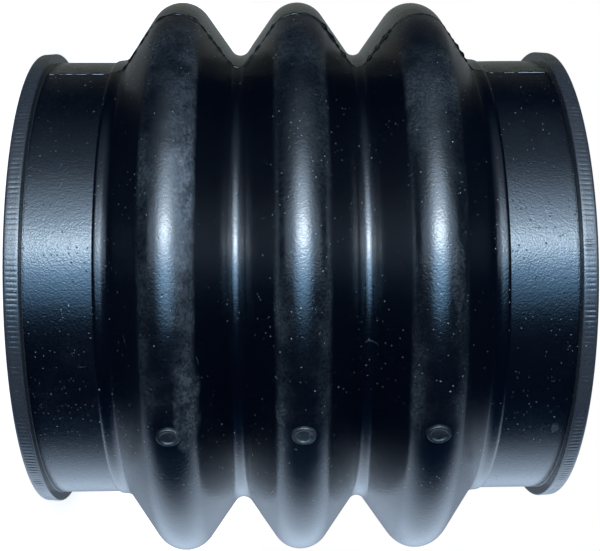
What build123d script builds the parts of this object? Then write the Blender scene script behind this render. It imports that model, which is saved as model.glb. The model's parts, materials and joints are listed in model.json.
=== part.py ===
from build123d import *
import os
from math import acos, atan2, cos, degrees, hypot, sin, sqrt

# Rubber bellows boot, moulded in one piece. It joins two pipe ends, seals the gap and
# lets them move. Three convolutions lie between two plain cuffs, and each cuff has a
# flat for a hose clamp and an outer lip that stops the clamp from slipping off.
#
# The boot stands on its lower end. Its axis is Z, and the origin is in the middle of
# that end. The moulded buttons face -Y. All lengths are millimetres.

# ---------------------------------------------------------------- driving dimensions
bore_radius = 63.5            # fits over a 127 mm pipe
cuff_wall = 4.5
clamp_seat_width = 18.2       # flat between the lip and the collar
lip_width = 4.9               # at the lip's root
lip_height = 2.7              # above the cuff, at the lip's inner edge
lip_wall_draft = 0.4          # how far the lip's inner wall leans out over its height
lip_taper = 0.75              # how far the lip's outside falls towards the end
lip_rim_chamfer = 0.5
mouth_chamfer = 0.8           # leads the pipe into each end
collar_width = 4.2
collar_height = 0.7           # step up from the clamp seat
collar_rise = 0.8             # further rise from the step to the first convolution

convolution_count = 3
convolution_pitch = 35.0
convolution_wall = 4.0
crest_radius = 86.0           # from the axis to the top of a convolution
crest_arc_radius = 9.0        # roundness of a crest in section, outside
valley_radius = 70.0          # from the axis to the bottom of a valley
valley_arc_radius = 3.0       # roundness of a valley in section, outside

nub_radius = 3.3              # one dished button on each crest
nub_height = 0.9              # above the crest
nub_rim_width = 0.8
nub_dish_depth = 0.4
nub_rim_chamfer = 0.3

# ---------------------------------------------------------------- worked out from them
cuff_radius = bore_radius + cuff_wall
lip_radius = cuff_radius + lip_height
collar_radius = cuff_radius + collar_height
foot_radius = collar_radius + collar_rise
seat_end = lip_width + clamp_seat_width
cuff_length = seat_end + collar_width

# A flank is the straight line that touches the arc of a crest and of the next valley.
# flank_angle is how far its outward normal leans from the radial direction.
crest_centre_radius = crest_radius - crest_arc_radius
valley_centre_radius = valley_radius + valley_arc_radius
half_pitch = convolution_pitch / 2
centre_drop = crest_centre_radius - valley_centre_radius
centre_distance = hypot(half_pitch, centre_drop)
centre_angle = atan2(half_pitch, -centre_drop)
flank_angle = centre_angle - acos((crest_arc_radius + valley_arc_radius) / centre_distance)


def flank_reach(arc_radius, end_radius):
    """Distance along the axis from a crest's centre to its flank's end at a radius."""
    start_radius = crest_centre_radius + arc_radius * cos(flank_angle)
    flank_length = (start_radius - end_radius) / sin(flank_angle)
    return arc_radius * sin(flank_angle) + flank_length * cos(flank_angle)


outer_reach = flank_reach(crest_arc_radius, foot_radius)
inner_reach = flank_reach(crest_arc_radius - convolution_wall, bore_radius)
first_crest = cuff_length + outer_reach
crest_heights = [first_crest + i * convolution_pitch for i in range(convolution_count)]
boot_length = crest_heights[-1] + first_crest


def cuff_line(end_height, inward):
    """Outside of a cuff in section, from the bore's edge to the first convolution.

    inward is 1 for the lower cuff and -1 for the upper one.
    """
    profile = [
        (bore_radius, 0),
        (lip_radius - lip_taper, 0),
        (lip_radius, lip_width - lip_wall_draft),
        (cuff_radius, lip_width),
        (cuff_radius, seat_end),
        (collar_radius, seat_end),
        (foot_radius, cuff_length),
    ]
    return Polyline([(radius, end_height + inward * depth) for radius, depth in profile])


def wave_line(start, end, crest_arc, valley_arc):
    """Rounded crests and valleys in section, joined by straight flanks."""
    span = 2 * degrees(flank_angle)
    last = start
    for height in crest_heights:
        crest = CenterArc((crest_centre_radius, height), crest_arc, -span / 2, span)
        Line(last, crest @ 0)
        last = crest @ 1
        if height < crest_heights[-1]:
            valley_centre = (valley_centre_radius, height + half_pitch)
            valley = CenterArc(valley_centre, valley_arc, 180 + span / 2, -span)
            Line(last, valley @ 0)
            last = valley @ 1
    Line(last, end)


with BuildPart() as nub:
    # A round button with a dished face. Z = 0 is level with the top of the crest, and
    # the root goes down far enough to end inside the wall.
    crest_fall = crest_arc_radius - sqrt(crest_arc_radius**2 - nub_radius**2)
    root_depth = crest_fall + convolution_wall / 4
    with BuildSketch(Plane.XZ):
        with BuildLine():
            dish = TangentArc(
                (0, nub_height - nub_dish_depth),
                (nub_radius - nub_rim_width, nub_height),
                tangent=(1, 0),
            )
            Polyline(
                dish @ 1,
                (nub_radius, nub_height),
                (nub_radius, -root_depth),
                (0, -root_depth),
                dish @ 0,
            )
        make_face()
    revolve(axis=Axis.Z)
    rim_face = nub.faces().filter_by(Plane.XY).sort_by(Axis.Z)[-1]
    chamfer(rim_face.edges().sort_by(SortBy.RADIUS)[-1], nub_rim_chamfer)

with BuildPart() as boot:
    # the wall in section, swept once round the axis
    with BuildSketch(Plane.XZ):
        with BuildLine():
            lower_cuff = cuff_line(0, 1)
            upper_cuff = cuff_line(boot_length, -1)
            wave_line(lower_cuff @ 1, upper_cuff @ 1, crest_arc_radius, valley_arc_radius)

            lower_shoulder = (bore_radius, first_crest - inner_reach)
            upper_shoulder = (bore_radius, boot_length - first_crest + inner_reach)
            Line(lower_cuff @ 0, lower_shoulder)
            Line(upper_cuff @ 0, upper_shoulder)
            inner_crest_arc = crest_arc_radius - convolution_wall
            inner_valley_arc = valley_arc_radius + convolution_wall
            wave_line(lower_shoulder, upper_shoulder, inner_crest_arc, inner_valley_arc)
        make_face()
    revolve(axis=Axis.Z)

    # broken edges at both ends: the bore's mouth and the lip's rim
    level_faces = boot.faces().filter_by(Plane.XY).sort_by(Axis.Z)
    end_faces = [level_faces[0], level_faces[-1]]
    chamfer([face.edges().sort_by(SortBy.RADIUS)[0] for face in end_faces], mouth_chamfer)
    level_faces = boot.faces().filter_by(Plane.XY).sort_by(Axis.Z)
    end_faces = [level_faces[0], level_faces[-1]]
    chamfer([face.edges().sort_by(SortBy.RADIUS)[-1] for face in end_faces], lip_rim_chamfer)

    # one button on each crest
    nub_seats = [
        Plane(origin=(0, -crest_radius, height), x_dir=(1, 0, 0), z_dir=(0, -1, 0))
        for height in crest_heights
    ]
    with Locations(*nub_seats):
        add(nub.part)

boot.part.label = "bellows_boot"
os.makedirs("parts", exist_ok=True)
export_step(boot.part, "parts/bellows_boot.step")
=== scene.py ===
"""Rubber bellows boot: its looks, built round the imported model.

One moulding: three rounded convolutions between two clamp cuffs. The boot stands on its
lower end, its axis is Z and its moulded buttons face -Y. Lengths are metres.
"""
import json
from dataclasses import dataclass
from math import acos, atan2, cos, hypot, pi, radians, sin, sqrt, tan

import bmesh
import bpy
from bpy.props import FloatProperty, FloatVectorProperty, IntProperty, PointerProperty
from mathutils import Matrix, Vector, noise


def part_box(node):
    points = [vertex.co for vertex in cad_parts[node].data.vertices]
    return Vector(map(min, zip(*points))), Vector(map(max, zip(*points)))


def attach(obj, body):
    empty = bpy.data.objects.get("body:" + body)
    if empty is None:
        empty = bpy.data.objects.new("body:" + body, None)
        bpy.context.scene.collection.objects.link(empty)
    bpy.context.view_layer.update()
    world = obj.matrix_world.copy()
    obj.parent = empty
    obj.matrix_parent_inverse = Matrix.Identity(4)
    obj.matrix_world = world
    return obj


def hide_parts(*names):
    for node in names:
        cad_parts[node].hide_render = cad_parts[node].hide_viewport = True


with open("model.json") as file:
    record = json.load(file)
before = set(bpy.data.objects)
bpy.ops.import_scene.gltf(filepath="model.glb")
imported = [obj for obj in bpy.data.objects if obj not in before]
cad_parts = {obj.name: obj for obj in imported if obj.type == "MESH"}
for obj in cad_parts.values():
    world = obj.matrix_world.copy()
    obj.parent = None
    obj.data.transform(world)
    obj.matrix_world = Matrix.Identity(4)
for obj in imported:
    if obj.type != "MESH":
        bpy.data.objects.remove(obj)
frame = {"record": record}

bl_info = {
    "name": "Rubber Bellows Boot",
    "version": (1, 0, 0),
    "blender": (4, 5, 0),
    "location": "View3D > Sidebar > Boot",
    "description": "Builds a moulded rubber bellows boot, its finish and a pale studio",
    "category": "Add Mesh",
}

MM = 0.001
NODE = "bellows_boot"
BODY = "root"
BOX_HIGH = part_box(NODE)[1]
MOUNTS = {mount["name"]: mount for mount in frame["record"]["mounts"]}


# ------------------------------------------------------------------ sizes and looks


def length(name, description, default):
    """A size in millimetres, kept in metres."""
    return FloatProperty(
        name=name, description=description, default=default * MM, unit="LENGTH", precision=5
    )


class BootSizes(bpy.types.PropertyGroup):
    """Sizes of the moulding's wall in section, and of what is moulded on it."""

    boot_length: FloatProperty(
        name="Boot Length",
        description="From end to end along the axis",
        default=BOX_HIGH.z,
        unit="LENGTH",
        precision=5,
    )
    bore_radius: FloatProperty(
        name="Bore Radius",
        description="Inside of both cuffs",
        default=MOUNTS["lower_cuff_bore"]["dims"]["r_mm"] * MM,
        unit="LENGTH",
        precision=5,
    )
    cuff_wall: length("Cuff Wall", "Thickness of a cuff at its clamp seat", 4.5)
    seat_width: length("Seat Width", "Flat for the hose clamp", 18.5)
    lip_width: length("Lip Width", "Width of a lip at its root", 4.5)
    lip_height: length("Lip Height", "Lip's inner edge above the clamp seat", 2.7)
    lip_draft: length("Lip Draft", "How far the lip's inner wall leans out", 0.15)
    lip_taper: length("Lip Taper", "Fall of the lip's outside towards the end", 0.3)
    lip_rounding: length("Lip Rounding", "Of the lips' inner edges", 0.4)
    collar_width: length("Collar Width", "Band between seat and first flank", 4.5)
    collar_height: length("Collar Height", "Step up from the clamp seat", 0.55)
    collar_ramp: length("Collar Ramp", "Width of that step", 0.5)
    collar_land: length("Collar Land", "Width of the collar's level part", 3.0)
    collar_lean: length("Collar Lean", "Rise of the level part along its width", 0.25)
    collar_rise: length("Collar Rise", "Further rise to the first flank", 0.95)
    pitch: length("Pitch", "Between two crests", 35.0)
    wall: length("Wall", "Thickness of the convolutions", 4.0)
    crest_radius: length("Crest Radius", "From the axis to the top of a crest", 86.0)
    crest_arc: length("Crest Roundness", "Roundness of a crest in section", 9.0)
    valley_radius: length("Valley Radius", "From the axis to a valley's bottom", 70.0)
    valley_arc: length("Valley Roundness", "Roundness of a valley in section", 3.0)
    edge_rounding: length("Edge Rounding", "Of the collar's root", 0.35)
    root_rounding: length("Root Rounding", "Where a lip rises from the seat", 0.15)
    step_rounding: length("Step Rounding", "Of the collar's step", 1.3)
    rim_rounding: length("Rim Rounding", "Of the lips' outer rims", 0.8)
    collar_rounding: length("Collar Rounding", "Of the collar towards the first flank", 4.6)
    foot_rounding: length("Foot Rounding", "Where the first flank meets the collar", 1.6)
    mouth_rounding: length("Mouth Rounding", "Of the bore's edges", 0.9)
    shoulder_rounding: length("Shoulder Rounding", "Inside, above the bore", 3.0)
    crest_count: IntProperty(
        name="Crests", description="Number of convolutions", default=3, min=1
    )
    columns: IntProperty(
        name="Columns", description="Steps of the moulding round its axis", default=208, min=24
    )
    tooth_cuts: IntProperty(
        name="Lip Cuts", description="Cuts in each column of a lip's outside", default=8, min=1
    )
    tooth_depth: length("Tooth Depth", "Depth of the fine grooves across the lips", 0.13)
    ridge_width: length("Parting Ridge Width", "Of the fine ridge where the mould parted", 0.5)
    ridge_height: length("Parting Ridge Height", "Above the wall", 0.5)
    unevenness: length("Unevenness", "How far the soft wall strays from true", 0.22)
    button_radius: length("Button Radius", "Along the boot's axis", 3.3)
    button_squash: FloatProperty(
        name="Button Squash",
        description="Its width round the boot, as a share of its width along the axis",
        default=0.82,
        min=0,
    )
    button_height: length("Button Height", "Above the crest", 0.62)
    button_rim: length("Button Rim", "Width of the button's rim", 0.85)
    button_dish: length("Button Dish", "Depth of the button's dished face", 0.34)
    button_foot: length("Button Foot", "Depth of the button's foot in the crest", 0.9)


def colour(name, description, default):
    """A linear RGB colour."""
    return FloatVectorProperty(
        name=name,
        description=description,
        default=default,
        subtype="COLOR",
        size=3,
        min=0.0,
        max=1.0,
    )


class RubberLook(bpy.types.PropertyGroup):
    """Colours and finish of the rubber."""

    rubber: colour("Rubber", "Clean moulded rubber", (0.0003, 0.0012, 0.0034))
    rubbed: colour("Rubbed", "Rubber of the lips", (0.018, 0.020, 0.025))
    # Pale film: real bloom on the crests, and also painted sheen where it is heavier on one side
    # of the crowns and in the first crest's gleam
    bloom_and_sheen: colour("Bloom", "Pale film on the crests", (0.030, 0.036, 0.041))
    grime: colour("Grime", "Dull film beyond the parting ridges", (0.036, 0.038, 0.028))
    # A pale colour laid on the first crest where its gleam falls: painted sheen, standing in for
    # the gloss that a matt patch spreads
    painted_sheen: colour("Painted Sheen", "Matt patch on the first crest", (0.080, 0.094, 0.112))
    dust: colour("Dust", "Specks of dust", (0.24, 0.28, 0.30))


class StudioLook(bpy.types.PropertyGroup):
    """Camera, lamps and floor."""

    camera_distance: length("Camera Distance", "From the boot's axis", 375.04)
    camera_height: length("Camera Height", "Above the floor", 72.1)
    aim_height: length("Aim Height", "Where the camera's line meets the axis", 79.35)
    camera_turn: FloatProperty(
        name="Camera Turn",
        description="Of the camera about the axis, from the row of buttons",
        default=radians(28.7),
        subtype="ANGLE",
    )
    camera_roll: FloatProperty(
        name="Camera Roll",
        description="Beyond the quarter turn that lays the boot's axis level",
        default=radians(-0.447),
        subtype="ANGLE",
    )
    lens: FloatProperty(name="Lens", description="Focal length in mm", default=69.56)
    floor_size: length("Floor Size", "Side of the floor", 6000.0)
    floor_colour: colour("Floor Colour", "Pale floor", (0.82, 0.82, 0.82))
    sun_level: FloatProperty(
        name="Sun Level", description="1 shows the floor's colour as it is", default=0.4, min=0
    )
    key_colour: colour("Key Colour", "Of the long softbox", (0.60, 0.78, 1.0))
    key_level: FloatProperty(
        name="Key Level", description="Radiance of the long softbox", default=1.3, min=0
    )
    glow_level: FloatProperty(
        name="Glow Level", description="Of the soft glows round the boot", default=1.0, min=0
    )


# ------------------------------------------------------------------ modelling helpers

PLAIN_STEP = 2.6 * MM    # longest step of a section's line, where a corner doesn't say
PLAIN_TURN = radians(8)  # and widest step of its arc
TOUCHING = 0.001 * MM    # a gap smaller than that counts as none


class SectionPen:
    """Draws a section in the XZ plane of a mesh, on from its last vertex."""

    def __init__(self, mesh, radius, height):
        self.mesh = mesh
        self.tip = bmesh.ops.create_vert(mesh, co=(radius, 0, height))["vert"][0]
        self.finish_layer = mesh.edges.layers.int.new("finish")

    def keep(self, finish, before):
        """Notes the finish of the edges drawn since. A spin hands it on to what it makes."""
        for edge in self.mesh.edges[before:]:
            edge[self.finish_layer] = finish

    def line(self, finish, radius, height, longest):
        """A straight line to a point, in steps no longer than that."""
        before = len(self.mesh.edges)
        start = self.tip.co.copy()
        end = Vector((radius, 0, height))
        steps = max(1, round((end - start).length / longest))
        for step in range(1, steps + 1):
            self.tip = bmesh.ops.extrude_vert_indiv(self.mesh, verts=[self.tip])["verts"][0]
            self.tip.co = start.lerp(end, step / steps)
        self.keep(finish, before)

    def arc(self, finish, centre, turn, widest):
        """An arc about a point, in steps no wider than that angle."""
        before = len(self.mesh.edges)
        swept = bmesh.ops.spin(
            self.mesh,
            geom=[self.tip],
            cent=centre,
            axis=(0, 1, 0),
            dvec=(0, 0, 0),
            angle=turn,
            steps=max(1, round(abs(turn) / widest)),
            use_duplicate=False,
        )
        self.tip = next(g for g in swept["geom_last"] if isinstance(g, bmesh.types.BMVert))
        self.keep(finish, before)


class Corner:
    """A corner of a section: its place, its rounding, and the finish up to and round it."""

    def __init__(
        self, radius, height, rounding, finish=0, longest=PLAIN_STEP, widest=PLAIN_TURN
    ):
        self.place = Vector((radius, 0, height))
        self.rounding = rounding
        self.finish = finish
        self.longest = longest
        self.widest = widest

    def mirrored(self, middle, ahead):
        """The same corner at the other end, with the line that leads from this one ahead."""
        place = self.place
        height = 2 * middle - place.z
        return Corner(place.x, height, self.rounding, ahead.finish, ahead.longest, self.widest)


def draw_section(mesh, corners):
    """Draws a section from its first corner to its last, and rounds those between."""
    pen = SectionPen(mesh, corners[0].place.x, corners[0].place.z)
    for i in range(1, len(corners) - 1):
        corner = corners[i]
        back = (corners[i - 1].place - corner.place).normalized()
        ahead = (corners[i + 1].place - corner.place).normalized()
        turn = pi - back.angle(ahead)
        trim = corner.rounding * tan(turn / 2)
        start = corner.place + back * trim
        pen.line(corner.finish, start.x, start.z, corner.longest)
        if corner.rounding:
            inward = (back + ahead).normalized()
            centre = corner.place + inward * corner.rounding / cos(turn / 2)
            side = 1 if back.cross(ahead).y < 0 else -1
            pen.arc(corner.finish, centre, side * turn, corner.widest)
    last = corners[-1]
    pen.line(last.finish, last.place.x, last.place.z, last.longest)
    return pen.finish_layer


def sweep_round(mesh, finish_layer, columns):
    """Spins all that is drawn once round the Z axis, with the finishes of its section."""
    bmesh.ops.spin(
        mesh,
        geom=mesh.verts[:] + mesh.edges[:],
        cent=(0, 0, 0),
        axis=(0, 0, 1),
        dvec=(0, 0, 0),
        angle=2 * pi,
        steps=columns,
        use_merge=True,
        use_duplicate=False,
    )
    for face in mesh.faces:
        face.material_index = max(edge[finish_layer] for edge in face.edges)
    bmesh.ops.remove_doubles(mesh, verts=mesh.verts[:], dist=TOUCHING)
    bmesh.ops.recalc_face_normals(mesh, faces=mesh.faces[:])


LONG_WAVE = 34 * MM
SHORT_WAVE = 15 * MM
TRUE_END = 3 * MM     # so much of each end stays true
EASING = 20 * MM      # and from there the unevenness grows over this length


def unevenness(point, sizes):
    """How far the soft wall strays from true at a point, away from the axis."""
    long_swell = noise.noise(point / LONG_WAVE)
    short_swell = noise.noise(point / SHORT_WAVE + Vector((7, 3, 5)))
    end_gap = min(point.z, sizes.boot_length - point.z)
    hold = min(1, max(0, (end_gap - TRUE_END) / EASING))
    return sizes.unevenness * (long_swell + 0.5 * short_swell) * hold


def make_uneven(mesh, sizes):
    """Moves every point of a mesh a little towards or away from the axis."""
    for vert in mesh.verts:
        spoke = Vector((vert.co.x, vert.co.y, 0))
        if spoke.length > MM:
            vert.co += spoke.normalized() * unevenness(vert.co, sizes)


def finished_object(name, mesh, materials):
    """Makes a smooth object of a mesh, and says what it replaces and which body it rides on."""
    data = bpy.data.meshes.new(name)
    for face in mesh.faces:
        face.smooth = True
    mesh.to_mesh(data)
    mesh.free()
    for material in materials:
        data.materials.append(material)
    piece = bpy.data.objects.new(name, data)
    bpy.context.scene.collection.objects.link(piece)
    weighted = piece.modifiers.new("Clean Shading", "WEIGHTED_NORMAL")
    weighted.keep_sharp = True
    weighted.weight = 60
    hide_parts(NODE)
    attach(piece, BODY)
    return piece


# ------------------------------------------------------------------ the boot

SKIN, SEAT, LIP, INSIDE = range(4)  # finishes of the moulding, and its material slots
INSIDE_STEP = 5 * MM
BORE_STEP = 9 * MM


def flank_lean(sizes):
    """Angle between a flank's outward normal and the spokes of the boot."""
    reach = sizes.pitch / 2
    drop = (sizes.crest_radius - sizes.crest_arc) - (sizes.valley_radius + sizes.valley_arc)
    return atan2(reach, -drop) - acos((sizes.crest_arc + sizes.valley_arc) / hypot(reach, drop))


def crest_heights(sizes):
    """Heights of the middles of the crests above the lower end."""
    span = (sizes.crest_count - 1) * sizes.pitch
    lowest = (sizes.boot_length - span) / 2
    return [lowest + i * sizes.pitch for i in range(sizes.crest_count)]


def wave_corners(sizes, inside):
    """Corners of the crests and valleys, going up, outside or inside the wall."""
    shift = sizes.wall if inside else 0
    lean = flank_lean(sizes)
    crest_arc = sizes.crest_arc - shift
    valley_arc = sizes.valley_arc + shift
    crest_corner = sizes.crest_radius - sizes.crest_arc + crest_arc / cos(lean)
    valley_corner = sizes.valley_radius + sizes.valley_arc - valley_arc / cos(lean)
    finish = INSIDE if inside else SKIN
    longest = INSIDE_STEP if inside else PLAIN_STEP
    widest = radians(13 if inside else 7)
    corners = []
    heights = crest_heights(sizes)
    for height in heights:
        corners.append(Corner(crest_corner, height, crest_arc, finish, longest, widest))
        if height < heights[-1]:
            low = height + sizes.pitch / 2
            corners.append(Corner(valley_corner, low, valley_arc, finish, longest, widest))
    return corners


def cuff_corners(sizes):
    """Corners of the lower cuff's outside, from the bore's mouth to the collar's top."""
    seat_radius = sizes.bore_radius + sizes.cuff_wall
    lip_radius = seat_radius + sizes.lip_height
    collar_radius = seat_radius + sizes.collar_height
    seat_end = sizes.lip_width + sizes.seat_width
    lip_edge = sizes.lip_width - sizes.lip_draft
    ramp_end = seat_end + sizes.collar_ramp
    land_end = seat_end + sizes.collar_land
    land_radius = collar_radius + sizes.collar_lean
    foot = seat_end + sizes.collar_width
    foot_radius = collar_radius + sizes.collar_rise
    small = radians(18)
    tooth_row = 0.75 * MM
    return [
        Corner(sizes.bore_radius, 0, sizes.mouth_rounding, INSIDE, BORE_STEP, small),
        Corner(lip_radius - sizes.lip_taper, 0, sizes.rim_rounding, LIP, 3 * MM, small),
        Corner(lip_radius, lip_edge, sizes.lip_rounding, LIP, tooth_row, small),
        Corner(seat_radius, sizes.lip_width, sizes.root_rounding, LIP, 1.2 * MM, small),
        Corner(seat_radius, seat_end, sizes.edge_rounding, SEAT, PLAIN_STEP, small),
        Corner(collar_radius, ramp_end, sizes.step_rounding, SKIN, 0.5 * MM, small),
        Corner(land_radius, land_end, sizes.collar_rounding, SKIN, MM, radians(6)),
        Corner(foot_radius, foot, sizes.foot_rounding, SKIN, 1.4 * MM, small),
    ]


def outside_corners(sizes):
    """Corners of the boot's outside, going up from the lower mouth to the upper one."""
    lower = cuff_corners(sizes)
    wave = wave_corners(sizes, inside=False)
    middle = sizes.boot_length / 2
    following = [*lower[1:], wave[0]]
    upper = [corner.mirrored(middle, ahead) for corner, ahead in zip(lower, following)]
    return [*lower, *wave, *reversed(upper)]


def boot_corners(sizes):
    """All corners of the boot's section, up the outside and down the inside."""
    inner = wave_corners(sizes, inside=True)
    shoulder_gap = (inner[0].place.x - sizes.bore_radius) / tan(flank_lean(sizes))
    shoulder_height = crest_heights(sizes)[0] - shoulder_gap
    shoulder = Corner(
        sizes.bore_radius, shoulder_height, sizes.shoulder_rounding, INSIDE, INSIDE_STEP
    )
    seam = Corner(sizes.bore_radius, shoulder_height / 2, 0, INSIDE, BORE_STEP)
    upper_shoulder = shoulder.mirrored(sizes.boot_length / 2, shoulder)
    return [seam, *outside_corners(sizes), upper_shoulder, *reversed(inner), shoulder, seam]


COLUMNS_PER_TOOTH = 6
TOOTH_SHAPE = (1.0, 0.15, -0.15, 0.0, 0.0, 0.2)  # a groove, its bank, the land, the groove's edge
GROOVE_FADE = 0.5 * MM  # a groove runs out over this length at both ends
SWAY = 0.3              # of a column, by which a groove strays sideways


def cut_lip_grooves(mesh, sizes):
    """Cuts fine shallow grooves across the outsides of both lips."""
    rounded = 0.7  # share of a rounding that the grooves keep off
    band_low = sizes.rim_rounding * rounded
    band_high = sizes.lip_width - sizes.lip_draft - sizes.lip_rounding * rounded
    band_radius = sizes.bore_radius + sizes.cuff_wall + sizes.lip_height - sizes.lip_taper
    tolerance = 0.3 * MM

    def depth_in_band(vert):
        """How far the vertex lies inside a lip's outside, or less than nothing."""
        if hypot(vert.co.x, vert.co.y) < band_radius - tolerance:
            return -1
        height = min(vert.co.z, sizes.boot_length - vert.co.z)
        return min(height - band_low, band_high - height)

    rings = [
        edge
        for edge in mesh.edges
        if abs(edge.verts[0].co.z - edge.verts[1].co.z) < TOUCHING
        and all(depth_in_band(vert) > 0 for vert in edge.verts)
    ]
    bmesh.ops.subdivide_edges(mesh, edges=rings, cuts=sizes.tooth_cuts, use_grid_fill=True)
    step = 2 * pi / sizes.columns
    fine_step = step / (sizes.tooth_cuts + 1)
    for vert in mesh.verts:
        inset = depth_in_band(vert)
        if inset <= 0:
            continue
        angle = atan2(vert.co.y, vert.co.x)
        column = round(angle / fine_step)
        tooth, part = divmod(column, COLUMNS_PER_TOOTH)
        flat_radius = hypot(vert.co.x, vert.co.y)
        true_radius = flat_radius * cos(angle % step - step / 2) / cos(step / 2)
        end = 1 if vert.co.z > sizes.boot_length / 2 else -1
        sway = noise.noise(Vector((tooth * 0.73, end * 9, vert.co.z * 150)))
        keenness = noise.noise(Vector((tooth * 0.31, end * 5, vert.co.z * 90))) + 0.62
        depth = sizes.tooth_depth * min(1.25, max(0.08, keenness)) * TOOTH_SHAPE[part]
        new_angle = angle + sway * SWAY * fine_step
        radius = true_radius - depth * min(1, inset / GROOVE_FADE)
        vert.co = Vector((radius * cos(new_angle), radius * sin(new_angle), vert.co.z))


class BOOT_OT_moulding(bpy.types.Operator):
    """Build the boot's wall and the fine grooves of its lips"""

    bl_idname = "boot.moulding"
    bl_label = "Moulding"

    def execute(self, context):
        sizes = context.scene.boot_sizes
        mesh = bmesh.new()
        sweep_round(mesh, draw_section(mesh, boot_corners(sizes)), sizes.columns)
        cut_lip_grooves(mesh, sizes)
        make_uneven(mesh, sizes)
        rubbers = [bpy.data.materials[name] for name in MOULDING_RUBBERS]
        finished_object("boot_moulding", mesh, rubbers)
        return {"FINISHED"}


# ------------------------------------------------------------------ the parting ridges

LIP_CORNERS = 4        # corners of a cuff that are its lip's
RIDGE_STEP = 0.7 * MM
RIDGE_TURN = radians(9)
RIDGE_WALL = 0.2 * MM
RIDGE_FADE = 1.5 * MM  # a ridge grows over this length from each lip


def ridge_corners(sizes):
    """Corners of the outside between the roots of the two lips, for a ridge's finer steps."""
    corners = outside_corners(sizes)
    root = corners[LIP_CORNERS - 1].place
    low = Corner(root.x, root.z + sizes.edge_rounding, 0)
    high = low.mirrored(sizes.boot_length / 2, low)
    outline = [low, *corners[LIP_CORNERS:-LIP_CORNERS], high]
    for corner in outline:
        corner.longest = RIDGE_STEP
        corner.widest = RIDGE_TURN
    return outline


def raise_ridge(mesh, sizes):
    """Raises the middle of a narrow strip, unevenly, and sinks its borders."""
    mesh.normal_update()
    for vert in mesh.verts:
        is_border = abs(vert.co.y) > 10 * TOUCHING
        if is_border:
            vert.co -= vert.normal * 0.5 * RIDGE_WALL
            continue
        end_gap = min(vert.co.z, sizes.boot_length - vert.co.z) - sizes.lip_width
        fading = min(1, max(0.1, end_gap / RIDGE_FADE))
        broken = 0.6 + 1.3 * noise.noise(vert.co / (1.5 * MM))
        patchwork = 0.85 + 0.6 * noise.noise(vert.co / (9 * MM) + Vector((5, 2, 8)))
        swing = 0.5 * noise.noise(vert.co / (2.4 * MM) + Vector((3, 1, 4)))
        vert.co += vert.normal * sizes.ridge_height * fading * max(0.1, broken * patchwork)
        vert.co.y += swing * sizes.ridge_width


class BOOT_OT_ridges(bpy.types.Operator):
    """Build the fine broken ridge that the mould's parting plane left along each side"""

    bl_idname = "boot.ridges"
    bl_label = "Parting Ridges"

    def execute(self, context):
        sizes = context.scene.boot_sizes
        rubber = bpy.data.materials["ridge_rubber"]
        angle = sizes.ridge_width / sizes.crest_radius
        for name, turn in (("parting_ridge_left", pi), ("parting_ridge_right", 0)):
            mesh = bmesh.new()
            draw_section(mesh, ridge_corners(sizes))
            to_one_side = Matrix.Rotation(-angle / 2, 3, "Z")
            bmesh.ops.rotate(mesh, verts=mesh.verts[:], matrix=to_one_side)
            bmesh.ops.spin(
                mesh,
                geom=mesh.verts[:] + mesh.edges[:],
                cent=(0, 0, 0),
                axis=(0, 0, 1),
                dvec=(0, 0, 0),
                angle=angle,
                steps=2,
                use_duplicate=False,
            )
            bmesh.ops.recalc_face_normals(mesh, faces=mesh.faces[:])
            if sum(face.normal.x for face in mesh.faces) < 0:
                bmesh.ops.reverse_faces(mesh, faces=mesh.faces[:])
            bmesh.ops.rotate(mesh, verts=mesh.verts[:], matrix=Matrix.Rotation(turn, 3, "Z"))
            raise_ridge(mesh, sizes)
            bmesh.ops.solidify(mesh, geom=mesh.faces[:], thickness=RIDGE_WALL)
            bmesh.ops.recalc_face_normals(mesh, faces=mesh.faces[:])
            make_uneven(mesh, sizes)
            finished_object(name, mesh, [rubber])
        return {"FINISHED"}


# ------------------------------------------------------------------ the buttons


BUTTON_ROUGHNESS = 0.09 * MM
BUTTON_COLUMNS = 56


def button_corners(sizes):
    """Corners of a button in section, from the middle of its dish to its foot."""
    radius, height = sizes.button_radius, sizes.button_height
    floor = height - sizes.button_dish
    dish_edge = radius - sizes.button_rim
    dish_slope = 0.6 * MM
    top_radius = radius - 0.1 * MM
    foot_radius = radius + 0.12 * MM
    foot = -sizes.button_foot
    fine = {"longest": 0.3 * MM, "widest": radians(12)}
    return [
        Corner(0, floor, 0, **fine),
        Corner(dish_edge - dish_slope, floor, 0.8 * MM, **fine),
        Corner(dish_edge, height, 0.3 * MM, **fine),
        Corner(top_radius, height, 0.36 * MM, **fine),
        Corner(foot_radius, foot, 0, **fine),
        Corner(0, foot, 0, longest=4 * MM),
    ]


def seat_on_crest(mesh, sizes, crest_height):
    """Turns a button to face -Y and bends it to a crest's rounded surface."""
    ring_radius = sizes.crest_radius - sizes.crest_arc
    for vert in mesh.verts:
        across, along, proud = vert.co
        across *= sizes.button_squash
        reach = ring_radius + sqrt(sizes.crest_arc**2 - along**2)
        fall = sizes.crest_radius - sqrt(reach**2 - across**2)
        bend = 1 - min(1, max(0, proud / sizes.button_height))
        where = vert.co / (1.3 * MM) + Vector((0, crest_height * 90, 0))
        rough = BUTTON_ROUGHNESS * noise.noise(where) if proud > 0 else 0
        out = sizes.crest_radius + proud - fall * bend + rough
        vert.co = Vector((across, -out, crest_height + along))


class BOOT_OT_buttons(bpy.types.Operator):
    """Build the dished button on each crest"""

    bl_idname = "boot.buttons"
    bl_label = "Crest Buttons"

    def execute(self, context):
        sizes = context.scene.boot_sizes
        rubber = bpy.data.materials["button_rubber"]
        for i, height in enumerate(crest_heights(sizes)):
            mesh = bmesh.new()
            sweep_round(mesh, draw_section(mesh, button_corners(sizes)), BUTTON_COLUMNS)
            seat_on_crest(mesh, sizes, height)
            make_uneven(mesh, sizes)
            finished_object(f"crest_button_{i + 1}", mesh, [rubber])
        return {"FINISHED"}


# ------------------------------------------------------------------ node helpers


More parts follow.
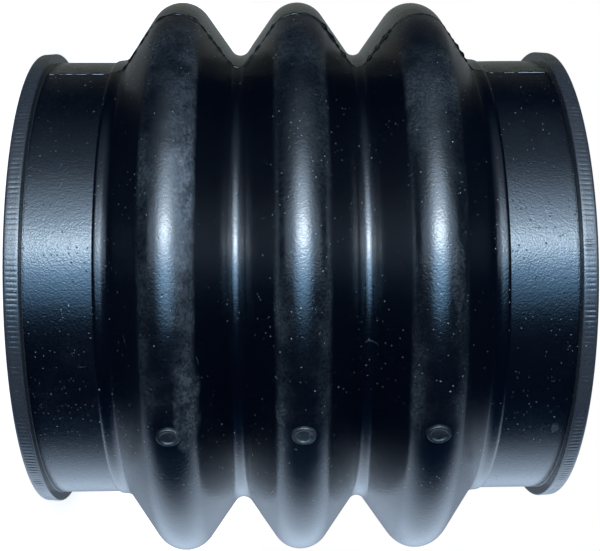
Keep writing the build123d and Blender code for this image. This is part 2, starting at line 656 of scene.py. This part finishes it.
class NodeMaker:
    """Adds nodes to a tree. A socket given as an input's value is linked to it."""

    def __init__(self, tree):
        self.tree = tree

    def add(self, kind, inputs=(), **settings):
        """A node with its settings and inputs."""
        node = self.tree.nodes.new(kind)
        for name, value in settings.items():
            setattr(node, name, value)
        for name, value in dict(inputs).items():
            if isinstance(value, bpy.types.NodeSocket):
                self.tree.links.new(value, node.inputs[name])
            else:
                node.inputs[name].default_value = value
        return node

    def math(self, operation, *numbers):
        """The result of a calculation with numbers."""
        return self.add("ShaderNodeMath", enumerate(numbers), operation=operation).outputs[0]

    def vector(self, operation, *vectors):
        """The result of a calculation with vectors: a number for a length or a dot product."""
        node = self.add("ShaderNodeVectorMath", enumerate(vectors), operation=operation)
        return node.outputs["Value" if operation in ("LENGTH", "DOT_PRODUCT") else "Vector"]

    def ramp(self, value, low, high, to_low=0.0, to_high=1.0):
        """Smooth step of a value from one range to another."""
        inputs = {
            "Value": value,
            "From Min": low,
            "From Max": high,
            "To Min": to_low,
            "To Max": to_high,
        }
        node = self.add("ShaderNodeMapRange", inputs, interpolation_type="SMOOTHSTEP")
        return node.outputs["Result"]

    def noise(self, where, scale, detail=2.0, roughness=0.5, distortion=0.0):
        """Soft noise from 0 to 1, with that many waves to the metre."""
        inputs = {
            "Vector": where,
            "Scale": scale,
            "Detail": detail,
            "Roughness": roughness,
            "Distortion": distortion,
        }
        return self.add("ShaderNodeTexNoise", inputs).outputs["Fac"]

    def cells(self, where, scale):
        """Scattered cells, each with its colour and the distance from its middle."""
        return self.add("ShaderNodeTexVoronoi", {"Vector": where, "Scale": scale}, feature="F1")

    def mix(self, share, first, second):
        """Mixes two colours."""
        node = self.add("ShaderNodeMix", data_type="RGBA")
        for name, value in (("Factor_Float", share), ("A_Color", first), ("B_Color", second)):
            socket = next(s for s in node.inputs if s.identifier == name)
            if isinstance(value, bpy.types.NodeSocket):
                self.tree.links.new(value, socket)
            else:
                socket.default_value = value
        return next(s for s in node.outputs if s.identifier == "Result_Color")


def new_group(name, inputs, outputs):
    """An empty shader node group. Inputs and outputs are (name, socket type, default)."""
    group = bpy.data.node_groups.new(name, "ShaderNodeTree")
    for side, sockets in (("INPUT", inputs), ("OUTPUT", outputs)):
        for socket_name, kind, default in sockets:
            socket = group.interface.new_socket(socket_name, in_out=side, socket_type=kind)
            if default is not None:
                socket.default_value = default
    maker = NodeMaker(group)
    source = maker.add("NodeGroupInput")
    sink = maker.add("NodeGroupOutput")
    return maker, source.outputs, sink


FLOAT = "NodeSocketFloat"
VECTOR = "NodeSocketVector"


def make_grain_group():
    """Orange peel and small pits left by the mould, as a height."""
    maker, given, sink = new_group(
        "Mould Grain",
        [
            ("Where", VECTOR, None),
            ("Fineness", FLOAT, 1700.0),
            ("Peel", FLOAT, 1.0),
            ("Pits", FLOAT, 1.0),
        ],
        [("Height", FLOAT, None)],
    )
    where, fineness = given["Where"], given["Fineness"]
    peel = maker.noise(where, fineness, detail=1.5, roughness=0.45, distortion=0.55)
    coarse = maker.noise(where, maker.math("MULTIPLY", fineness, 0.31), detail=1.0)
    swell = maker.math("MULTIPLY_ADD", coarse, 0.3, peel)
    cell = maker.cells(where, maker.math("MULTIPLY", fineness, 0.42))
    chosen = maker.math("GREATER_THAN", cell.outputs["Color"], 0.66)
    hole = maker.ramp(cell.outputs["Distance"], 0.10, 0.24, 1.0, 0.0)
    pits = maker.math("MULTIPLY", hole, chosen)
    raised = maker.math("MULTIPLY", swell, given["Peel"])
    sunk = maker.math("MULTIPLY", pits, given["Pits"])
    maker.tree.links.new(maker.math("SUBTRACT", raised, sunk), sink.inputs["Height"])
    return maker.tree


SPECK_SIZES = (  # cells to the metre, a speck's radius as a share of a cell, share of cells
    (520.0, 0.11, 0.60),
    (380.0, 0.085, 0.60),
    (260.0, 0.064, 0.45),
    (120.0, 0.038, 0.40),
)
SPECK_WOBBLE = (0.7 * MM, 0.7 * MM, 0.7 * MM)


def make_dust_group():
    """Specks of dust and fine pale scuffs, as masks."""
    maker, given, sink = new_group(
        "Dust And Scuffs",
        [("Where", VECTOR, None)],
        [("Specks", FLOAT, None), ("Scuffs", FLOAT, None)],
    )
    where = given["Where"]
    wobble = maker.add("ShaderNodeTexNoise", {"Vector": where, "Scale": 900.0, "Detail": 1.0})
    shaken = maker.vector("MULTIPLY_ADD", wobble.outputs["Color"], SPECK_WOBBLE, where)
    specks = 0.0
    crowding = maker.ramp(maker.noise(where, 42.0), 0.38, 0.66, 0.35, 1.5)
    for scale, size, share in SPECK_SIZES:
        cell = maker.cells(shaken, scale)
        limit = maker.math("MULTIPLY", crowding, share)
        chosen = maker.math("LESS_THAN", cell.outputs["Color"], limit)
        paleness = maker.ramp(cell.outputs["Color"], 0.0, limit, 1.0, 0.12)
        dot = maker.ramp(cell.outputs["Distance"], size * 0.45, size, 1.0, 0.0)
        speck = maker.math("MULTIPLY", dot, maker.math("MULTIPLY", chosen, paleness))
        specks = maker.math("MAXIMUM", speck, specks)
    swing = maker.math("SUBTRACT", maker.noise(where, 70.0, detail=0.5), 0.5)
    hair = maker.ramp(maker.math("ABSOLUTE", swing), 0.0012, 0.0045, 1.0, 0.0)
    stretch = maker.ramp(maker.noise(where, 130.0, detail=1.0), 0.66, 0.74)
    scuffs = maker.math("MULTIPLY", hair, stretch)
    for name, value in (("Specks", specks), ("Scuffs", scuffs)):
        maker.tree.links.new(value, sink.inputs[name])
    return maker.tree


# ------------------------------------------------------------------ the rubber


@dataclass
class Finish:
    """How one zone of the rubber differs from the others."""

    name: str
    grain: float        # depth of the orange peel
    fineness: float     # waves of its grain to the metre
    pits: float         # depth of the pits
    roughness: float
    film: float = 0.0   # share of the surface that pale film takes at most
    shine: float = 0.5  # strength of the gloss
    gleam: tuple = (1.0, 1.0, 1.0)  # tint of the gloss
    tone: str = "rubber"            # its colour's name in the looks


FINISHES = (
    Finish("skin_rubber", 0.95, 1700.0, 0.5, 0.185, film=0.75, shine=0.57),
    Finish(
        "seat_rubber", 1.15, 1900.0, 1.4, 0.20, film=0.1, shine=0.46, gleam=(0.88, 0.945, 1.0)
    ),
    Finish("lip_rubber", 0.7, 2200.0, 0.3, 0.27, film=0.4, shine=0.6, tone="rubbed"),
    Finish("inside_rubber", 0.8, 1400.0, 0.3, 0.38),
    Finish("button_rubber", 0.6, 2200.0, 0.2, 0.28, film=0.9),
    Finish("ridge_rubber", 0.3, 2200.0, 0.0, 0.18),
)
MOULDING_RUBBERS = [finish.name for finish in FINISHES[:4]]  # in the order of the slots


def opaque(rgb):
    """A colour with its alpha."""
    return (*rgb, 1.0)


def radius_and_spoke(maker, where):
    """A place's distance from the axis, and the unit vector that points to it from there."""
    flat = maker.vector("MULTIPLY", where, (1, 1, 0))
    return maker.vector("LENGTH", flat), maker.vector("NORMALIZE", flat)


FILM_SHEEN_TURN = 45  # degrees from the camera to where most film lies on the tops; that extra film is painted sheen


def crest_masks(maker, where):
    """The crests, and the share of them that film covers, which is less on their tops. It is
    heavier on the tops that face about 45 degrees from the camera, and that extra film is painted
    sheen.
    """
    sizes = bpy.context.scene.boot_sizes
    studio = bpy.context.scene.boot_studio
    radius, spoke = radius_and_spoke(maker, where)
    # Painted sheen: the film on the crowns grows towards the side that faces 45 degrees from the
    # camera
    nearness = maker.vector("DOT_PRODUCT", spoke, tuple(compass(studio, FILM_SHEEN_TURN, 0)))
    crown_share_with_sheen = maker.ramp(nearness, 0.45, 0.95, 0.12, 0.65)
    wavy = maker.noise(where, 90.0, detail=3.0, roughness=0.6)
    edge = maker.math("MULTIPLY_ADD", wavy, 1.2 * MM, radius)
    tangent = sizes.crest_radius - sizes.crest_arc * (1 - cos(flank_lean(sizes)))
    crests = maker.ramp(edge, tangent, tangent + 1.7 * MM)
    edge = maker.math("MULTIPLY_ADD", wavy, 3.0 * MM, radius)
    top = maker.ramp(edge, sizes.crest_radius - 0.8 * MM, sizes.crest_radius + 1.3 * MM)
    return crests, maker.mix(top, (1.0, 1.0, 1.0, 1.0), crown_share_with_sheen)


@dataclass
class Spot:
    """A patch of the surface: degrees from the camera, height and half sizes in mm."""

    turn: float
    height: float
    along: float
    across: float
    strength: float


# Patches of pale film: most are wear, and one is painted sheen
WEAR_AND_SHEEN_SPOTS = (
    Spot(-23.0, 48.5, 16.5, 3.7, 0.75),
    Spot(-25.5, 72.8, 10.0, 1.5, 0.6),
    # This patch lies in the first crest's gleam, and its pale film there is painted sheen
    Spot(11.0, 48.6, 16.0, 2.2, 0.6),
    Spot(-1.0, 117.8, 13.0, 2.0, 0.5),
    Spot(-39.3, 149.2, 2.6, 1.0, 0.9),
    Spot(60.0, 36.5, 3.0, 1.4, 0.8),
)
# Matt patches on the first crest, where the gloss is rougher; they also carry a pale painted
# sheen where the gleam falls
MATT_SHEEN_SPOTS = (
    Spot(14.0, 49.4, 40.0, 5.2, 0.5),
    Spot(13.0, 49.5, 20.0, 5.0, 1.0),
)


def spots_mask(maker, where, spots, softness=0.0):
    """Some of the spots, with broken edges."""
    studio = bpy.context.scene.boot_studio
    reach = bpy.context.scene.boot_sizes.crest_radius
    spoke = radius_and_spoke(maker, where)[1]
    rise = maker.vector("MULTIPLY", where, (0, 0, 1))
    place = maker.vector("MULTIPLY_ADD", spoke, (reach, reach, reach), rise)
    broken = maker.noise(where, 140.0)
    patchwork = 0.0
    for spot in spots:
        middle = compass(studio, spot.turn, 0) * reach + Vector((0, 0, spot.height * MM))
        narrowing = (1 / (spot.along * MM), 1 / (spot.along * MM), 1 / (spot.across * MM))
        gap = maker.vector("SUBTRACT", place, tuple(middle))
        size = maker.vector("LENGTH", maker.vector("MULTIPLY", gap, narrowing))
        ragged = maker.math("MULTIPLY_ADD", broken, 1.2, size)
        patch = maker.ramp(ragged, 1.2 - softness, 1.7 + softness, spot.strength, 0.0)
        patchwork = maker.math("MAXIMUM", patch, patchwork)
    blotches = maker.noise(where, 330.0, detail=3.0, roughness=0.65)
    return maker.math("MULTIPLY", patchwork, maker.ramp(blotches, 0.32, 0.68, 0.35, 1.0))


def far_half_mask(maker, where):
    """The half of the boot beyond the parting ridges, with an uneven border on the crests."""
    sizes = bpy.context.scene.boot_sizes
    place = maker.add("ShaderNodeSeparateXYZ", {0: where}).outputs
    radius = radius_and_spoke(maker, where)[0]
    swing = maker.ramp(radius, sizes.valley_radius, sizes.crest_radius, 0.4 * MM, 3.5 * MM)
    wavy = maker.math("SUBTRACT", maker.noise(where, 170.0, detail=3.0, roughness=0.6), 0.5)
    edge = maker.math("MULTIPLY_ADD", wavy, swing, place["Y"])
    mottle = maker.ramp(maker.noise(where, 240.0, detail=3.0), 0.3, 0.7, 0.35, 0.75)
    return maker.math("MULTIPLY", maker.ramp(edge, -0.15 * MM, 0.25 * MM), mottle)


RUBBER_IOR = 1.65
GRAIN_DEPTH = 0.05 * MM  # where the grain's height is 1
SPECK_HEIGHT = 0.6       # of a speck of dust, in the same measure
FLICKER = 0.10           # range of the roughness from point to point
FILM_DULLNESS = 0.14     # roughness that film adds
SPECK_DULLNESS = 0.35    # and that dust adds
HAZE_DULLNESS = 0.5      # and that the matt patch adds
PAINTED_SHEEN_SHARE = 0.85        # of the painted sheen's colour in the middle of the matt patch


def make_rubber(finish, look, grain_group, dust_group):
    """The material of one zone of the moulding."""
    material = bpy.data.materials.new(finish.name)
    material.use_nodes = True
    material.node_tree.nodes.clear()
    maker = NodeMaker(material.node_tree)
    where = maker.add("ShaderNodeTexCoord").outputs["Object"]
    grain_inputs = {
        "Where": where,
        "Fineness": finish.fineness,
        "Peel": finish.grain,
        "Pits": finish.pits,
    }
    grain = maker.add("ShaderNodeGroup", grain_inputs, node_tree=grain_group)
    dust = maker.add("ShaderNodeGroup", {"Where": where}, node_tree=dust_group)
    specks = dust.outputs["Specks"]
    fine_noise = maker.noise(where, 1300.0, roughness=0.6)
    mottle = maker.ramp(fine_noise, 0.3, 0.7, 0.45, 1.5)

    patches = maker.noise(where, 38.0, detail=4.0, roughness=0.65)
    film = maker.math("MULTIPLY", maker.ramp(patches, 0.40, 0.76, 0.15, 1.0), finish.film)
    flicker = maker.noise(where, 1500.0)
    roughness = maker.math("MULTIPLY_ADD", flicker, FLICKER, finish.roughness - FLICKER / 2)
    painted_sheen = 0.0
    # On the first crest the matt patches roughen the gloss and also lay a pale painted sheen in
    # the gleam
    if finish.name == "skin_rubber":
        crests, share = crest_masks(maker, where)
        matt_and_sheen = maker.math("MULTIPLY", spots_mask(maker, where, MATT_SHEEN_SPOTS, softness=0.5), crests)
        painted_sheen = maker.math("MULTIPLY", maker.math("MULTIPLY", matt_and_sheen, mottle), PAINTED_SHEEN_SHARE)
        # Film on the crests only; its extra share on the crowns that face 45 degrees from the
        # camera is painted sheen
        film = maker.math("MULTIPLY", film, maker.math("MULTIPLY", crests, share))
        roughness = maker.math("MULTIPLY_ADD", matt_and_sheen, HAZE_DULLNESS, roughness)
    # Patches of worn film, one of them painted sheen in the first crest's gleam
    film = maker.math("MAXIMUM", film, spots_mask(maker, where, WEAR_AND_SHEEN_SPOTS))
    film = maker.math("MAXIMUM", film, dust.outputs["Scuffs"])
    film = maker.math("MULTIPLY", film, mottle)
    colour = maker.mix(film, opaque(getattr(look, finish.tone)), opaque(look.bloom_and_sheen))
    colour = maker.mix(painted_sheen, colour, opaque(look.painted_sheen))
    colour = maker.mix(far_half_mask(maker, where), colour, opaque(look.grime))
    colour = maker.mix(specks, colour, opaque(look.dust))
    roughness = maker.math("MULTIPLY_ADD", film, FILM_DULLNESS, roughness)
    roughness = maker.math("MULTIPLY_ADD", specks, SPECK_DULLNESS, roughness)
    height = maker.math("MULTIPLY_ADD", specks, SPECK_HEIGHT, grain.outputs["Height"])
    bump = maker.add("ShaderNodeBump", {"Distance": GRAIN_DEPTH, "Height": height})
    shader = maker.add(
        "ShaderNodeBsdfPrincipled",
        {
            "Base Color": colour,
            "Roughness": roughness,
            "IOR": RUBBER_IOR,
            "Specular IOR Level": finish.shine,
            "Specular Tint": opaque(finish.gleam),
            "Normal": bump.outputs["Normal"],
        },
    )
    maker.add("ShaderNodeOutputMaterial", {"Surface": shader.outputs[0]})
    return material


class BOOT_OT_rubber(bpy.types.Operator):
    """Make the rubber of each zone of the moulding"""

    bl_idname = "boot.rubber"
    bl_label = "Rubber"

    def execute(self, context):
        look = context.scene.boot_look
        grain_group = make_grain_group()
        dust_group = make_dust_group()
        for finish in FINISHES:
            make_rubber(finish, look, grain_group, dust_group)
        return {"FINISHED"}


# ------------------------------------------------------------------ the studio


def camera_directions(studio):
    """Unit vectors from the axis to the camera, and up in the picture."""
    turn = studio.camera_turn
    towards = Vector((-sin(turn), -cos(turn), 0))
    return towards, towards.cross(Vector((0, 0, 1)))


SENSOR_WIDTH = 36  # mm


def add_camera(context, studio):
    """The camera, lying on its side so that the boot's axis is level in the picture."""
    towards, up = camera_directions(studio)
    place = towards * studio.camera_distance + Vector((0, 0, studio.camera_height))
    back = (place - Vector((0, 0, studio.aim_height))).normalized()
    right = Vector((0, 0, 1)) - back * back.z
    right.normalize()
    turned = Matrix.Rotation(studio.camera_roll, 3, back)
    right = turned @ right
    data = bpy.data.cameras.new("camera")
    data.lens = studio.lens
    data.sensor_width = SENSOR_WIDTH
    data.clip_start = 10 * MM
    camera = bpy.data.objects.new("camera", data)
    axes = Matrix((right, back.cross(right), back)).transposed()
    camera.matrix_world = Matrix.Translation(place) @ axes.to_4x4()
    context.scene.collection.objects.link(camera)
    context.scene.camera = camera


def compass(studio, turn, rise):
    """The direction that many degrees round the axis from the camera, and above level."""
    towards, up = camera_directions(studio)
    level = towards * cos(radians(turn)) + up * sin(radians(turn))
    return level * cos(radians(rise)) + Vector((0, 0, sin(radians(rise))))


def add_lamp(context, data, place, aim):
    """Places a lamp that the camera doesn't see, with its long side along the boot's axis."""
    lamp = bpy.data.objects.new(data.name, data)
    back = (place - aim).normalized()
    across = Vector((0, 0, 1)).cross(back).normalized()
    axes = Matrix((across, back.cross(across), back)).transposed()
    lamp.matrix_world = Matrix.Translation(place) @ axes.to_4x4()
    lamp.visible_camera = False
    context.scene.collection.objects.link(lamp)
    return lamp


SOFTBOX_WIDTH = 0.60
SOFTBOX_LENGTH = 3.40
SOFTBOX_TURN = 18       # degrees round the axis from the camera
SOFTBOX_DISTANCE = 1.1


def add_softbox(context, studio):
    """A long even lamp in front of the boot and along it."""
    data = bpy.data.lights.new("long_softbox", "AREA")
    data.shape = "RECTANGLE"
    data.size = SOFTBOX_WIDTH
    data.size_y = SOFTBOX_LENGTH
    data.energy = studio.key_level * pi * data.size * data.size_y
    data.color = studio.key_colour
    aim = Vector((0, 0, studio.aim_height))
    place = aim + compass(studio, SOFTBOX_TURN, 0) * SOFTBOX_DISTANCE
    add_lamp(context, data, place, aim)


SUN_SPREAD = 30  # degrees
SUN_RISE = 62    # degrees above level


def add_sun(context, studio):
    """Even soft light on the floor from above, which gloss doesn't show."""
    data = bpy.data.lights.new("sun", "SUN")
    data.energy = pi * studio.sun_level
    data.angle = radians(SUN_SPREAD)
    sun = add_lamp(context, data, compass(studio, 0, SUN_RISE), Vector())
    sun.visible_glossy = False


@dataclass
class Glow:
    """A soft patch of light round the boot, in degrees: where it is and where it fades."""

    turn: float     # round the axis from the camera
    inner: float    # from its middle to where it starts to fade
    outer: float    # and to where it ends
    stretch: float  # less than 1 draws it out along the axis
    tint: tuple     # its radiance


GLOWS = (
    Glow(16, 0, 9.4, 0.26, (16.2, 17.8, 18.8)),         # the bright core of the gleam
    Glow(18, 0, 28, 0.42, (1.5, 2.0, 2.5)),             # its soft surround
    Glow(33, 0, 26, 0.6, (2.1, 2.6, 3.2)),              # its tail on one side
    Glow(42, 0, 58, 0.6, (0.36, 0.46, 0.56)),           # and beyond that
    Glow(3, 0, 24, 0.5, (1.5, 3.2, 5.2)),               # the bluer tail on the other side
    Glow(-128, 8, 43, 0.49, (1.42, 1.74, 2.10)),        # light from behind, on that side
    Glow(-120, 20, 62, 0.6, (0.0, 0.04, 0.14)),         # its blue surround
    Glow(-175, 8, 50, 0.6, (0.20, 0.23, 0.26)),         # straight behind
    Glow(146, 0, 40, 0.6, (0.13, 0.135, 0.12)),         # behind, on the gleam's side
)


def make_world(context, studio):
    """White to the camera, and soft glows for all else."""
    world = bpy.data.worlds.new("studio_world")
    world.use_nodes = True
    world.node_tree.nodes.clear()
    maker = NodeMaker(world.node_tree)
    ray = maker.add("ShaderNodeTexCoord").outputs["Generated"]
    light = (0.0, 0.0, 0.0)
    for glow in GLOWS:
        squeezed = maker.vector("MULTIPLY", ray, (1, 1, glow.stretch))
        squeezed = maker.vector("NORMALIZE", squeezed)
        nearness = maker.vector("DOT_PRODUCT", squeezed, tuple(compass(studio, glow.turn, 0)))
        angle = maker.math("ARCCOSINE", nearness)
        share = maker.ramp(angle, radians(glow.inner), radians(glow.outer), 1.0, 0.0)
        light = maker.vector("MULTIPLY_ADD", glow.tint, share, light)
    glows = maker.add("ShaderNodeBackground", {"Color": light, "Strength": studio.glow_level})
    white = maker.add("ShaderNodeBackground", {"Color": (1, 1, 1, 1), "Strength": 1.0})
    seen = maker.add("ShaderNodeLightPath").outputs["Is Camera Ray"]
    mixed = maker.add("ShaderNodeMixShader", {0: seen, 1: glows.outputs[0], 2: white.outputs[0]})
    maker.add("ShaderNodeOutputWorld", {"Surface": mixed.outputs[0]})
    context.scene.world = world


FLOOR_GLOW = 0.78  # radiance that brings the lit floor up to white before the camera


def make_floor_material(studio):
    """Pale matt floor. It keeps shadows, and lets gloss and lamps see through it."""
    material = bpy.data.materials.new("pale_floor")
    material.use_nodes = True
    material.node_tree.nodes.clear()
    maker = NodeMaker(material.node_tree)
    path = maker.add("ShaderNodeLightPath").outputs
    matt = maker.add("ShaderNodeBsdfDiffuse", {"Color": opaque(studio.floor_colour)})
    brightness = maker.math("MULTIPLY", path["Is Camera Ray"], FLOOR_GLOW)
    shine = maker.add("ShaderNodeEmission", {"Color": (1, 1, 1, 1), "Strength": brightness})
    pale = maker.add("ShaderNodeAddShader", {0: matt.outputs[0], 1: shine.outputs[0]})
    clear = maker.add("ShaderNodeBsdfTransparent")
    passing = maker.math("MAXIMUM", path["Is Glossy Ray"], path["Is Shadow Ray"])
    both = maker.add("ShaderNodeMixShader", {0: passing, 1: pale.outputs[0], 2: clear.outputs[0]})
    maker.add("ShaderNodeOutputMaterial", {"Surface": both.outputs[0]})
    return material


def add_floor(context, studio):
    """A flat floor under the boot."""
    mesh = bmesh.new()
    bmesh.ops.create_grid(mesh, x_segments=4, y_segments=4, size=studio.floor_size / 2)
    data = bpy.data.meshes.new("floor")
    mesh.to_mesh(data)
    mesh.free()
    data.materials.append(make_floor_material(studio))
    floor = bpy.data.objects.new("floor", data)
    context.scene.collection.objects.link(floor)


class BOOT_OT_studio(bpy.types.Operator):
    """Set up the pale floor, the lamps, the world and the camera"""

    bl_idname = "boot.studio"
    bl_label = "Studio"

    def execute(self, context):
        studio = context.scene.boot_studio
        add_camera(context, studio)
        add_floor(context, studio)
        add_sun(context, studio)
        add_softbox(context, studio)
        make_world(context, studio)
        context.scene.view_settings.view_transform = "Standard"
        return {"FINISHED"}


# ------------------------------------------------------------------ the add-on

STEPS = ("boot.rubber", "boot.moulding", "boot.ridges", "boot.buttons", "boot.studio")


class BOOT_PT_panel(bpy.types.Panel):
    """Lists the boot's steps and sizes"""

    bl_idname = "BOOT_PT_panel"
    bl_label = "Bellows Boot"
    bl_space_type = "VIEW_3D"
    bl_region_type = "UI"
    bl_category = "Boot"

    def draw(self, context):
        for step in STEPS:
            self.layout.operator(step)
        for group_name in GROUPS:
            group = getattr(context.scene, group_name)
            box = self.layout.box()
            for name in group.__annotations__:
                box.prop(group, name)


GROUPS = {"boot_sizes": BootSizes, "boot_look": RubberLook, "boot_studio": StudioLook}
OPERATORS = (BOOT_OT_rubber, BOOT_OT_moulding, BOOT_OT_ridges, BOOT_OT_buttons, BOOT_OT_studio)


def register():
    for cls in (*GROUPS.values(), *OPERATORS, BOOT_PT_panel):
        bpy.utils.register_class(cls)
    for name, group in GROUPS.items():
        setattr(bpy.types.Scene, name, PointerProperty(type=group))


def unregister():
    for name in GROUPS:
        delattr(bpy.types.Scene, name)
    for cls in reversed((*GROUPS.values(), *OPERATORS, BOOT_PT_panel)):
        bpy.utils.unregister_class(cls)


def main():
    """Registers the add-on and builds everything."""
    register()
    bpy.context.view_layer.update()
    bpy.ops.boot.rubber()
    bpy.ops.boot.moulding()
    bpy.ops.boot.ridges()
    bpy.ops.boot.buttons()
    bpy.ops.boot.studio()


if __name__ == "__main__":
    main()
